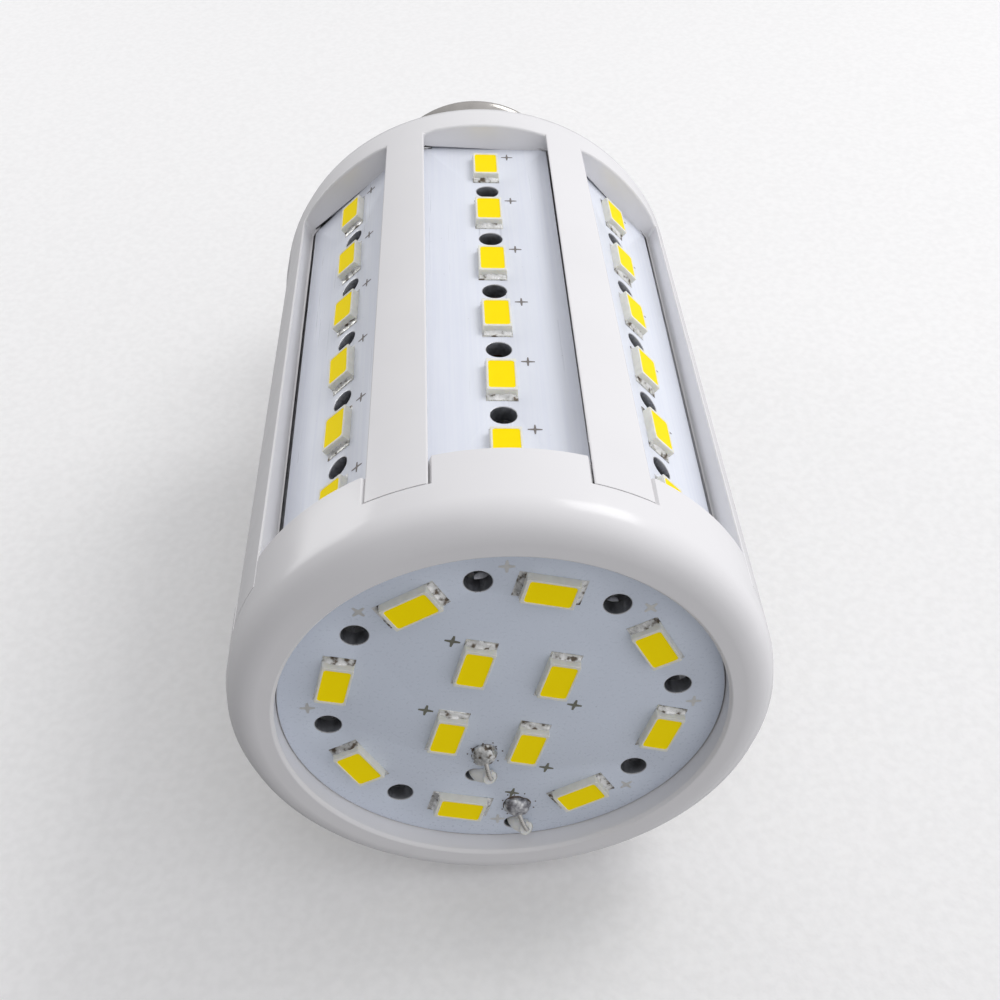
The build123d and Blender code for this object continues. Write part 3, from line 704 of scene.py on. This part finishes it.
@dataclass
class Package:
    """One light-emitting package, in millimetres on its board's face, its long side along x."""

    length: float = 5.0
    width: float = 3.0
    height: float = 0.9
    window: Pair = (4.3, 2.56)
    well: float = 0.2
    gel: float = 0.15
    tab_reach: float = 0.35
    pad_reach: float = 0.62
    fillet_height: float = 0.36
    lumps: float = 0.13

    def stacked(self, name: str, *stacks: tuple[Pair, Sequence[Triple]]) -> Mesh:
        """Closed stack of rounded rectangles.

        Args:
            name: name of the mesh.
            stacks: length and width to start from, with levels of draft, corner radius and height.

        Returns:
            The mesh.
        """
        shell = bmesh.new()
        skin(shell, [rounded_loop(shell, long - draft, wide - draft, radius, z)
                     for (long, wide), levels in stacks for draft, radius, z in levels])
        return smooth(mesh_of(shell, name), 28)

    def body(self) -> Mesh:
        """Moulded body with drafted sides, an eased rim and a well with sloping walls."""
        top = self.height
        sides = [(0.0, 0.12, 0.0), (0.02, 0.12, 0.25), (0.08, 0.12, top - 0.05), (0.16, 0.12, top)]
        well = [(-0.04, 0.28, top), (0.04, 0.28, top - 0.04), (0.20, 0.28, top - self.well)]
        return self.stacked("package_body", ((self.length, self.width), sides), (self.window, well))

    def phosphor(self) -> Mesh:
        """Filling of the well, a little hollow as cured gel is."""
        floor = self.height - self.well
        level = floor + self.gel
        filling = [(0.22, 0.26, floor + 0.01), (0.05, 0.26, level + 0.01), (0.35, 0.22, level - 0.012),
                   (1.30, 0.18, level - 0.02)]
        return self.stacked("package_phosphor", (self.window, filling))

    def solder(self) -> Mesh:
        """Tinned pads, tabs and the fillets that climb the package's two ends."""
        shell = bmesh.new()
        for end in (1, -1):
            self.fillet(shell, end)
            self.pad(shell, end)
        return smooth(mesh_of(shell, "package_solder"), 40)

    def pad(self, shell: Shell, end: int) -> None:
        """Adds the thin tinned pad at one end."""
        inner, outer, half = self.length / 2 - 0.35, self.length / 2 + self.pad_reach, self.width / 2 + 0.02
        corners = [(inner, -half), (outer, -half), (outer, half), (inner, half)]
        skin(shell, [[shell.verts.new((end * x, y, z)) for x, y in corners] for z in (0.004, 0.035)])

    def fillet(self, shell: Shell, end: int, across: int = 10, out: int = 5) -> None:
        """Adds the lump of solder between a tab and its pad, at one end."""
        wide, reach, start = self.width - 0.2, self.tab_reach + 0.24, self.length / 2 - 0.06
        rows = []
        for share in (i / out for i in range(out + 1)):
            row = []
            for side in (2 * j / across - 1 for j in range(across + 1)):
                tall = self.fillet_height * (1 - share) ** 1.3 * (1 - 0.45 * side ** 2) + 0.05
                lump = self.lumps * noise.noise(Vector((side * 2.3, share * 2.0, end * 1.7)))
                x = start + reach * share * (1 - 0.18 * side ** 2)
                row.append(shell.verts.new((end * x, side * wide / 2, max(0.03, tall + lump * (1 - share)))))
            rows.append(row)
        feet = [[shell.verts.new((v.co.x, v.co.y, 0.005)) for v in row] for row in rows]
        for net in (rows, feet):
            for a, b in zip(net, net[1:]):
                for j in range(across):
                    shell.faces.new((a[j], b[j], b[j + 1], a[j + 1]))
        rim = []
        for net in (rows, feet):
            right, left = [row[-1] for row in net[1:]], [row[0] for row in net[-2:0:-1]]
            rim.append(net[0] + right + net[-1][-2::-1] + left)
        sides = list(zip(*rim))
        for (a, low_a), (b, low_b) in zip(sides, sides[1:] + sides[:1]):
            shell.faces.new((a, b, low_b, low_a))


def cross_mark(size: float, stroke: float) -> Mesh:
    """Thin printed cross, flat on z = 0, closed and 0.02 mm thick.

    Args:
        size: length of its arms from end to end in millimetres.
        stroke: width of a stroke at its root; its tip is half as wide.

    Returns:
        Its mesh.
    """
    far, near, tip = size / 2, stroke / 2, stroke / 4
    outline = [(near, near), (tip, far), (-tip, far), (-near, near), (-far, tip), (-far, -tip), (-near, -near),
               (-tip, -far), (tip, -far), (near, -near), (far, -tip), (far, tip)]
    shell = bmesh.new()
    skin(shell, [[shell.verts.new((x, y, z)) for x, y in outline] for z in (0.004, 0.024)])
    return mesh_of(shell, "cross")


@dataclass
class Housing:
    """Windowed cage and front ring."""

    edge: float = 0.34
    ring_edge: float = 0.28
    recess: float = 0.3
    skin: float = 23.0
    bore: float = 21.8
    foot: float = 9.6
    lip: float = 4.0

    def cage_share(self, radius: float, height: float) -> float:
        """Share of the easing on the cage: full outside, none inside and where the pillars meet the ring."""
        outside = radius >= self.skin or height >= SHOULDER
        return 1.0 if outside and height > self.foot else 0.0

    def ring_share(self, radius: float, height: float) -> float:
        """Share of the easing on the ring: full round its rim, little at the recess, none above its lip."""
        if height < self.lip:
            return self.recess if radius < self.bore else 1.0
        return 0.0

    def build(self) -> None:
        """Eases the edges of the two mouldings and dresses them."""
        cage = eased_copy("housing_cage", self.edge, self.cage_share)
        ring = eased_copy("front_ring", self.ring_edge, self.ring_share)
        publish("housing_cage_moulding", cage, [HOUSING], "housing_cage")
        publish("front_ring_moulding", ring, [HOUSING], "front_ring")


class Board:
    """Board with packages, solder and marks; each kind gives its plane, plate, places, names and finishes."""

    number = ""

    def build(self, package: Package) -> None:
        """Builds the board and all that is on it."""
        made = [
            ("", self.board(), [self.mask, ALUMINIUM, DRILLED_AND_SHADED]),
            ("_packages", self.copies("packages", package.body, RESIN), [RESIN]),
            ("_phosphor", self.copies("phosphor", package.phosphor, PHOSPHOR), [PHOSPHOR]),
            ("_solder", self.copies("solder", package.solder, SOLDER, crinkle=self.crinkle), [SOLDER]),
            ("_marks", self.marks(), self.prints)]
        for index, (kind, mesh, finishes) in enumerate(made):
            mesh.transform(self.plane())
            nodes = [node + self.number for node in self.nodes[index:index + 1]]
            publish(self.name + kind + self.number, mesh, finishes, *nodes)


@dataclass
class LitStrip(Board):
    """One side board with its packages, marks and solder."""

    index: int
    width: float = 15.0
    tab_width: float = 14.0
    thickness: float = 1.6
    foot: float = 5.1
    tab: float = 69.9
    top: float = 71.5
    apothem: float = 21.9
    first: float = 64.9
    pitch: float = 10.37
    count: int = 6
    hole: float = 1.25
    mark: Pair = (3.1, -2.7)
    mark_size: Pair = (1.35, 0.24)
    name: str = "strip"
    nodes: tuple[str, ...] = ("side_board", "side_led_bodies", "side_led_phosphors")
    mask: Finish = MASK
    prints: tuple[Finish, ...] = (PRINT,)
    crinkle: float = 0.22

    @property
    def number(self) -> str:
        """End of the names of this strip's pieces and solids."""
        return f"_{self.index + 1}"

    def plane(self) -> Matrix:
        """Plane on the strip's face: x up the lamp, z outwards."""
        normal = Vector((*polar(1.0, -90 + 45 * self.index), 0))
        return plane_matrix(normal * self.apothem, UP, normal)

    def board(self) -> Mesh:
        """Strip with a hole between each two packages."""
        half, tab = self.width / 2, self.tab_width / 2
        outline = [(self.foot, -half), (self.tab, -half), (self.tab, -tab), (self.top, -tab), (self.top, tab),
                   (self.tab, tab), (self.tab, half), (self.foot, half)]
        holes = [(self.first - self.pitch * (i + 0.5), 0.0, self.hole) for i in range(self.count - 1)]
        return pierced_plate(outline, holes, self.thickness)

    def copies(self, name: str, element: Callable[[], Mesh], finish: Finish, **changes: object) -> Mesh:
        """Row of one kind of piece, with some values of its placing changed."""
        values = dict(start=(self.first, 0, 0), step=(-self.pitch, 0, 0), seed=11 + self.index)
        return Placing(Layout.ROW, self.count, **{**values, **changes}).repeat(name, element(), finish)

    def marks(self) -> Mesh:
        """Printed crosses beside the packages."""
        beside = dict(start=(self.first + self.mark[0], self.mark[1], 0), wander=0.15, wander_turn=3.0)
        return self.copies("marks", partial(cross_mark, *self.mark_size), PRINT, **beside)


@dataclass
class LitDisc(Board):
    """Round end board with its packages and marks. Its own plane has z out of the lamp's front."""

    radius: float = 21.05
    thickness: float = 1.6
    face: float = 2.1
    turn: float = 13.07
    ring: float = 16.0
    holes_at: float = 16.6
    hole: float = 1.25
    wire_hole: float = 0.92
    inner: Pair = (8.0, 10.1)
    wire_holes: tuple[Pair, Pair] = ((0.25, -11.0), (6.15, -17.9))
    ring_mark: float = 18.2
    mark_turn: float = 14.0
    inner_marks: tuple[Pair, ...] = ((-6.66, 7.49), (-6.8, -2.35), (6.75, 1.39), (6.89, -8.39), (4.67, -13.06))
    name: str = "disc"
    nodes: tuple[str, ...] = ("end_board", "end_led_bodies", "end_led_phosphors")
    mask: Finish = DISC_MASK_SHADED
    prints: tuple[Finish, ...] = (TINNED_MARK, DISC_PRINT)
    crinkle: float = 0.25

    def plane(self) -> Matrix:
        """Plane on the disc's outer face."""
        return plane_matrix(UP * self.face, Vector((*polar(1.0, self.turn), 0)), -UP)

    def board(self) -> Mesh:
        """Disc with its ring of holes and the two holes for the leads."""
        holes = [(*polar(self.holes_at, -22.5 - 45 * i), self.hole) for i in range(8) if i != 1]
        holes += [(*hole, self.wire_hole) for hole in self.wire_holes]
        return pierced_plate(arc((0, 0), self.radius, 0, 357.5, 143), holes, self.thickness)

    def copies(self, name: str, element: Callable[[], Mesh], finish: Finish, **changes: object) -> Mesh:
        """One mesh of a kind of piece on all twelve packages, with some values of the placings changed."""
        placings = [
            Placing(Layout.RING, 8, (0, 0, 0), (self.ring, 0, 0), 90, 45, seed=5, **changes),
            Placing(Layout.BLOCK, 4, (0, 0, 0), (*self.inner, 0), 90, seed=8, **changes)]
        return joined(name, [(placing.repeat(name, element(), finish), 0) for placing in placings])

    def marks(self) -> Mesh:
        """Silvery crosses in the ring and printed ones beside the inner packages."""
        turns = [self.mark_turn - 45 * i for i in range(8) if i != 3]
        spots = [(polar(self.ring_mark, turn), turn, 0) for turn in turns]
        spots += [(place, 0, 1) for place in self.inner_marks]
        crosses = []
        for (x, y), turn, kind in spots:
            mark = cross_mark(1.45, 0.38 - 0.04 * kind)
            mark.transform(plane_matrix(Vector((x, y, 0)), Vector((*polar(1.0, turn), 0)), UP))
            crosses.append((mark, kind))
        return joined("marks", crosses)

    def build(self, package: Package) -> None:
        """Builds the disc with all that is on it, and its two leads."""
        super().build(package)
        first, second = self.wire_holes
        for lead in (
                Lead(1, first, (1.55, -10.0, 0.95), (0.3, -7.5), (-3.0, 1.7, 53.0), (1.3, 1.45, 1.0), SOLDER),
                Lead(2, second, (7.4, -17.45, 0.95), (5.7, -14.9), (3.0, 1.7, 53.0), (1.4, 1.3, 1.1),
                     DULL_SOLDER)):
            lead.build(self.plane())


def smooth_path(corners: Sequence[Vector], steps: int = 6) -> list[Vector]:
    """Smooth curve through the corners, with a number of steps between each two."""
    ends = [corners[0], *corners, corners[-1]]
    path = []
    for a, b, c, d in zip(ends, ends[1:], ends[2:], ends[3:]):
        square, cube = 2 * a - 5 * b + 4 * c - d, 3 * (b - c) + d - a
        for t in (step / steps for step in range(steps)):
            path.append((2 * b + (c - a) * t + square * t ** 2 + cube * t ** 3) / 2)
    return path + [corners[-1]]


def tube(name: str, corners: Sequence[Vector], radius: float, ease: float, sides: int = 20) -> Mesh:
    """Round tube along a smooth curve, closed at both ends.

    Args:
        name: name of the mesh.
        corners: points of its middle line in millimetres.
        radius: its radius.
        ease: rounding of its two ends.
        sides: faces round.

    Returns:
        The mesh.
    """
    path = smooth_path(corners)
    first, last = (path[1] - path[0]).normalized(), (path[-1] - path[-2]).normalized()
    stations = [(path[0], radius - ease), (path[0] + first * ease * 0.3, radius - ease * 0.3),
                (path[0] + first * ease, radius)]
    stations += [(place, radius) for place in path[1:-1]]
    stations += [(path[-1] - last * ease, radius), (path[-1], radius - ease)]
    shell, side, loops = bmesh.new(), first.orthogonal(), []
    for index, (place, reach) in enumerate(stations):
        ahead = stations[min(index + 1, len(stations) - 1)][0] - stations[max(index - 1, 0)][0]
        ahead.normalize()
        side = (side - ahead * side.dot(ahead)).normalized()
        across = ahead.cross(side)
        spokes = [polar(reach, 360 * i / sides) for i in range(sides)]
        loops.append([shell.verts.new(place + side * x + across * y) for x, y in spokes])
    skin(shell, loops)
    return smooth(mesh_of(shell, name), 40)


@dataclass
class Lead:
    """One lead that comes up through the disc and is soldered to it, in millimetres on the disc's plane."""

    number: int
    hole: Pair
    end: Triple
    pad: Pair
    inside: Triple
    size: Triple
    finish: Finish
    insulation: float = 0.75
    core: float = 0.25
    bend: float = 24.0
    facing: Triple = (0.42, 0.42, 0.80)

    def sleeve_line(self, plane: Matrix) -> list[Vector]:
        """Middle line of the insulation, from its cut end through the hole to the driver."""
        (x, y), end, inside = self.hole, Vector(self.end), Vector(self.inside)
        near = [end, end - Vector(self.facing) * 0.6, end.lerp(Vector((x, y, -0.3)), 0.75),
                Vector((x, y, -1.1)), Vector((x, y, -2.5))]
        line = [plane @ (point * MM) / MM for point in near]
        corner = Vector((*line[-1].xy, self.bend))
        away = (inside - corner).normalized()
        line += [Vector((*corner.xy, 10.0)), corner - UP * 3.5, corner + away * 3.5]
        return line + [corner.lerp(inside, 0.7), inside]

    def core_line(self, plane: Matrix) -> list[Vector]:
        """Middle line of the bare end, from inside the insulation back into the solder."""
        end, facing = Vector(self.end), Vector(self.facing)
        out = Vector((*self.pad, self.size[2] * 0.62))
        over = end.lerp(out, 0.3) + UP * 0.30
        return [plane @ (point * MM) / MM for point in (end - facing * 0.5, end + facing * 0.12, over, out)]

    def lump(self) -> Mesh:
        """Irregular lump of solder on its pad."""
        shell = bmesh.new()
        bmesh.ops.create_icosphere(shell, subdivisions=5, radius=1.0)
        for vertex in shell.verts:
            place = vertex.co.copy()
            swell = 1 + 0.16 * noise.noise(place * 1.5 + Vector((self.number * 3.1, 0, 0)))
            swell += 0.05 * noise.noise(place * 5.0 + Vector((0, self.number * 2.3, 0)))
            vertex.co = Vector([c * swell * size for c, size in zip(place, self.size)])
            vertex.co.z = max(vertex.co.z, 0.006)
        bmesh.ops.remove_doubles(shell, verts=shell.verts, dist=1e-5)
        bmesh.ops.translate(shell, vec=(*self.pad, 0), verts=shell.verts)
        return smooth(mesh_of(shell, "lump"), 60)

    def residue(self) -> Mesh:
        """Dark flux round the lump, with nine spatters."""
        shell = bmesh.new()
        spots = [(*self.pad, self.size[0] * 1.02, 48)]
        for index in range(9):
            turn, reach = 2.4 * index + self.number, self.size[0] * (1.18 + 0.10 * (index % 3))
            spots.append((self.pad[0] + reach * math.cos(turn), self.pad[1] + reach * math.sin(turn), 0.08, 8))
        for x, y, radius, sides in spots:
            rays = [polar(1.0, 360 * step / sides) for step in range(sides)]
            waves = [noise.noise(Vector((c * 2, s * 2, x + self.number))) for c, s in rays]
            edge = [(radius * (1 + 0.16 * wave) * c, radius * (1 + 0.16 * wave) * s)
                    for wave, (c, s) in zip(waves, rays)]
            skin(shell, [[shell.verts.new((x + share * out, y + share * up, z)) for out, up in edge]
                         for z, share in ((0.004, 1.0), (0.03, 0.97))])
        return mesh_of(shell, "residue")

    def build(self, plane: Matrix) -> None:
        """Builds the lead's insulation, bare end, solder and flux."""
        number = self.number
        sleeve = tube("sleeve", self.sleeve_line(plane), self.insulation, 0.12)
        core = tube("core", self.core_line(plane), self.core, 0.08)
        lump, residue = self.lump(), self.residue()
        for mesh in (lump, residue):
            mesh.transform(plane)
        publish(f"lead_insulation_{number}", sleeve, [INSULATION], f"lead_sleeve_{number}")
        publish(f"lead_bare_end_{number}", core, [COPPER], f"lead_core_{number}")
        publish(f"lead_solder_{number}", lump, [self.finish], *(["lead_solder_joints"] if number == 1 else []))
        publish(f"lead_flux_{number}", residue, [FLUX])


@dataclass
class ScrewCap:
    """Rolled nickel cap with its insulator and contact."""

    seat: float = 83.0
    skirt: float = 13.45
    skirt_end: float = 86.4
    wall: float = 0.4
    bead: float = 0.12
    minor: float = 12.1
    depth: float = 1.05
    pitch: float = 3.629
    thread: Pair = (86.5, 104.0)
    crest: float = 87.85
    run_out: float = 1.0
    end: float = 105.2
    mouth: float = 9.6
    round: float = 2.2
    tip: float = 110.0
    button: float = 1.5

    def section(self) -> list[Pair]:
        """Closed section of the shell, dense where the thread is rolled in."""
        inner, seat, skirt_end = self.skirt - self.wall, self.seat, self.skirt_end
        corner = (self.minor - self.round, self.end - self.round)
        points = [(inner, seat), (self.skirt - self.bead, seat), (self.skirt, seat + self.bead)]
        points += [(self.skirt, seat + 0.3 * i) for i in range(1, 9)]
        rows = round((corner[1] - skirt_end) / 0.15)
        points += [(self.minor, skirt_end + (corner[1] - skirt_end) / rows * i) for i in range(rows)]
        points += arc(corner, self.round, 0, 90, 8)
        points += [(self.mouth, self.end), (self.mouth, self.end - self.wall)]
        points += arc(corner, self.round - self.wall, 90, 0, 5)
        return points + [(self.minor - self.wall, skirt_end - self.wall), (inner, skirt_end - 0.6 - self.wall)]

    def shell(self) -> Mesh:
        """Turned shell with the thread rolled in by Geometry Nodes."""
        tree = Tree("rolled_thread")
        pitch, depth, low, high, run_out, wall, crest = tree.inputs({
            "Pitch": self.pitch * MM, "Depth": self.depth * MM, "Low end": self.thread[0] * MM,
            "High end": self.thread[1] * MM, "Run-out": self.run_out * MM,
            "Outer wall": (self.minor - self.wall / 2) * MM, "First crest": self.crest * MM})
        x, y, z = tree.split(tree.out("GeometryNodeInputPosition"))
        flat = tree.joint(X=x, Y=y)
        turns = tree.math("DIVIDE", tree.math("ARCTAN2", y, x), 2 * math.pi)
        rise = tree.math("DIVIDE", tree.math("SUBTRACT", z, crest), pitch)
        phase = tree.math("MULTIPLY", tree.math("SUBTRACT", rise, turns), 2 * math.pi)
        lift = tree.math("MULTIPLY", tree.math("MULTIPLY_ADD", tree.math("COSINE", phase), 0.5, 0.5), depth)
        for limit, operation in ((low, "ADD"), (high, "SUBTRACT")):
            faded = {0: z, 1: limit, 2: tree.math(operation, limit, run_out)}
            share = tree.out("ShaderNodeMapRange", faded, interpolation_type="SMOOTHSTEP")
            lift = tree.math("MULTIPLY", lift, share)
        outer = tree.math("GREATER_THAN", tree.vector("LENGTH", flat)["Value"], wall)
        offset = tree.vector("SCALE", tree.vector("NORMALIZE", flat)[0], Scale=lift)[0]
        rolled = tree.out("GeometryNodeSetPosition", {
            "Geometry": tree.entry.outputs[0], "Selection": outer, "Offset": offset})
        return smooth(tree.grow(spun("cap_shell", self.section(), 144), rolled, NICKEL), 40)

    def insulator(self) -> Mesh:
        """Dark glass cone with an eased foot and a shallow groove under the contact."""
        end, foot, seat = self.end, self.end - self.wall, self.tip - self.button
        section = [(0.8, foot - 1.6), (9.85, foot - 1.6), (9.85, foot - 0.02), (9.55, foot), (9.55, end + 0.05),
                   (9.1, end + 0.35), (8.2, end + 0.9), (7.2, end + 1.7), (6.5, end + 2.5),
                   (6.1, seat - 0.25), (5.9, seat - 0.06), (5.6, seat), (0.8, seat)]
        return smooth(spun("cap_insulator", section), 35)

    def contact(self) -> Mesh:
        """Contact button with an eased edge and a low dome of solder in its middle."""
        tip, seat = self.tip, self.tip - self.button
        section = [(0, seat), (4.9, seat)] + arc((4.3, tip - 0.75), 0.6, 0, 90, 6)
        section += [(2.4, tip - 0.14), (2.0, tip - 0.10), (1.4, tip - 0.03), (0, tip)]
        return smooth(spun("centre_contact", section, 64), 35)

    def build(self) -> None:
        """Builds the three pieces of the cap."""
        publish("cap_shell", self.shell(), [NICKEL], "screw_cap_shell")
        publish("cap_glass_cone", self.insulator(), [DARK_GLASS], "cap_insulator")
        publish("contact_button", self.contact(), [CONTACT], "centre_contact")


class Driver:
    """Circuit inside the housing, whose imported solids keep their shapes."""

    def build(self) -> None:
        """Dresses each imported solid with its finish."""
        for node, finish in CIRCUIT.items():
            mesh = NODES[node].data
            mesh.materials.clear()
            mesh.materials.append(finish.material())
            log.info("%s: dressed", node)


@dataclass
class Stage:
    """Cloth that the lamp lies on in the photograph, floor for the other views, lights and camera."""

    table_azimuth: float = -94.4
    table_distance: float = 25.7
    key_power: float = 0.72
    side_power: float = 0.42
    fill: float = 0.56
    slope: float = 0.42
    window: Triple = (0.80, -0.60, 0.20)
    daylight: Triple = (0.97, 0.97, 1.0)
    backdrop: Triple = (0.86, 0.86, 0.86)
    cloth: tuple[Triple, Triple] = ((0.915, 0.91, 0.90), (0.95, 0.945, 0.935))
    middle: float = 40.0
    lamp_distance: float = 0.5
    lens: float = 48.8
    camera_place: Triple = (-7.66, -99.11, -80.13)
    right: Triple = (0.998283, -0.039389, -0.043413)
    up: Triple = (-0.000501, -0.746322, 0.665587)
    back: Triple = (-0.058617, -0.664423, -0.745056)

    def camera(self) -> None:
        """Sets the camera at the photograph's place and angle."""
        data = bpy.data.cameras.new("camera")
        data.lens, data.sensor_width = self.lens, 36.0
        data.clip_start, data.clip_end = 0.005, 20.0
        camera = bpy.data.objects.new("camera", data)
        bpy.context.scene.collection.objects.link(camera)
        matrix = Matrix((self.right, self.up, self.back)).transposed().to_4x4()
        matrix.translation = Vector(self.camera_place) * MM
        camera.matrix_world = matrix
        bpy.context.scene.camera = camera

    def sheet(self, name: str, centre: Vector, x_dir: Vector, normal: Vector, size: float) -> None:
        """Adds a large pale sheet that only the camera sees, from its front, so it never shades the lamp.

        Args:
            name: name of the sheet.
            centre: its middle in millimetres.
            x_dir: direction of its x side.
            normal: direction that it faces.
            size: its half width in metres.
        """
        paint = Paint(name)
        threads = paint.noise(1.1, 2.0)
        tone = paint.ramp(threads, (0.35, self.cloth[0]), (0.65, self.cloth[1]))
        paint.coat({"Roughness": 0.9, "Specular IOR Level": 0.1, "Base Color": tone})
        paint.bump((threads, 0.05))
        front = paint.math("SUBTRACT", 1.0, paint.add("ShaderNodeNewGeometry").outputs["Backfacing"])
        clear = paint.out("ShaderNodeBsdfTransparent")
        self.seen(paint, front, clear, paint.shader.outputs[0], paint.output)
        mesh = bpy.data.meshes.new(name)
        corners = [(-size, -size, 0), (size, -size, 0), (size, size, 0), (-size, size, 0)]
        mesh.from_pydata(corners, [], [(0, 1, 2, 3)])
        mesh.transform(plane_matrix(centre, x_dir, normal))
        mesh.materials.append(paint.material)
        sheet = bpy.data.objects.new(name, mesh)
        bpy.context.scene.collection.objects.link(sheet)

    def seen(self, graph: Graph, share: object, other: Socket, shown: Socket, output: bpy.types.Node) -> None:
        """Ends a graph with one shader for the camera, where a share allows it, and another for all else."""
        ray = graph.add("ShaderNodeLightPath").outputs["Is Camera Ray"]
        sides = {0: graph.math("MULTIPLY", share, ray), 1: other, 2: shown}
        graph.feed(graph.out("ShaderNodeMixShader", sides), output.inputs["Surface"])

    def lamp(self, name: str, direction: Vector, size: float, power: float) -> None:
        """Adds a square soft light in a direction, facing the lamp's middle."""
        data = bpy.data.lights.new(name, "AREA")
        data.size, data.energy = size, power
        light = bpy.data.objects.new(name, data)
        bpy.context.scene.collection.objects.link(light)
        light.location = UP * self.middle * MM + direction.normalized() * self.lamp_distance
        light.rotation_euler = direction.to_track_quat("Z", "Y").to_euler()

    def world(self) -> None:
        """Sets a pale world, brighter on the side of the window and plain where the camera sees it."""
        world = bpy.data.worlds.new("world")
        bpy.context.scene.world = world
        world.use_nodes = True
        graph, nodes = Graph(world.node_tree), world.node_tree.nodes
        ahead = graph.add("ShaderNodeTexCoord").outputs["Generated"]
        along = graph.add("ShaderNodeVectorMath", {0: ahead, 1: self.window}, operation="DOT_PRODUCT")
        light = nodes["Background"]
        graph.feed(self.daylight, light.inputs["Color"])
        strength = graph.math("MULTIPLY_ADD", along.outputs["Value"], self.slope, self.fill)
        graph.feed(strength, light.inputs["Strength"])
        plain = graph.out("ShaderNodeBackground", {"Color": self.backdrop, "Strength": 1.0})
        self.seen(graph, 1.0, light.outputs[0], plain, nodes["World Output"])

    def build(self) -> None:
        """Builds the sheets, lights, world and camera."""
        bpy.context.scene.view_settings.view_transform = "Standard"
        normal, right = Vector((*polar(1.0, self.table_azimuth), 0)), Vector(self.right)
        self.sheet("table_cloth", -normal * self.table_distance, UP, normal, 1.2)
        self.sheet("floor_cloth", -UP * 0.2, Vector((1, 0, 0)), UP, 1.5)
        self.lamp("key", normal * 0.75 + right * 0.62 + UP * 0.32, 0.22, self.key_power)
        self.lamp("side", normal * 0.3 - right * 0.8 + UP * 0.5, 0.25, self.side_power)
        self.world()
        self.camera()


def main() -> None:
    """Builds the stage and the lamp piece by piece."""
    logging.basicConfig(level=logging.INFO, format="%(name)s %(message)s")
    package = Package()
    Stage().build()
    Housing().build()
    for index in range(8):
        LitStrip(index).build(package)
    LitDisc().build(package)
    ScrewCap().build()
    Driver().build()


if __name__ == "__main__":
    main()
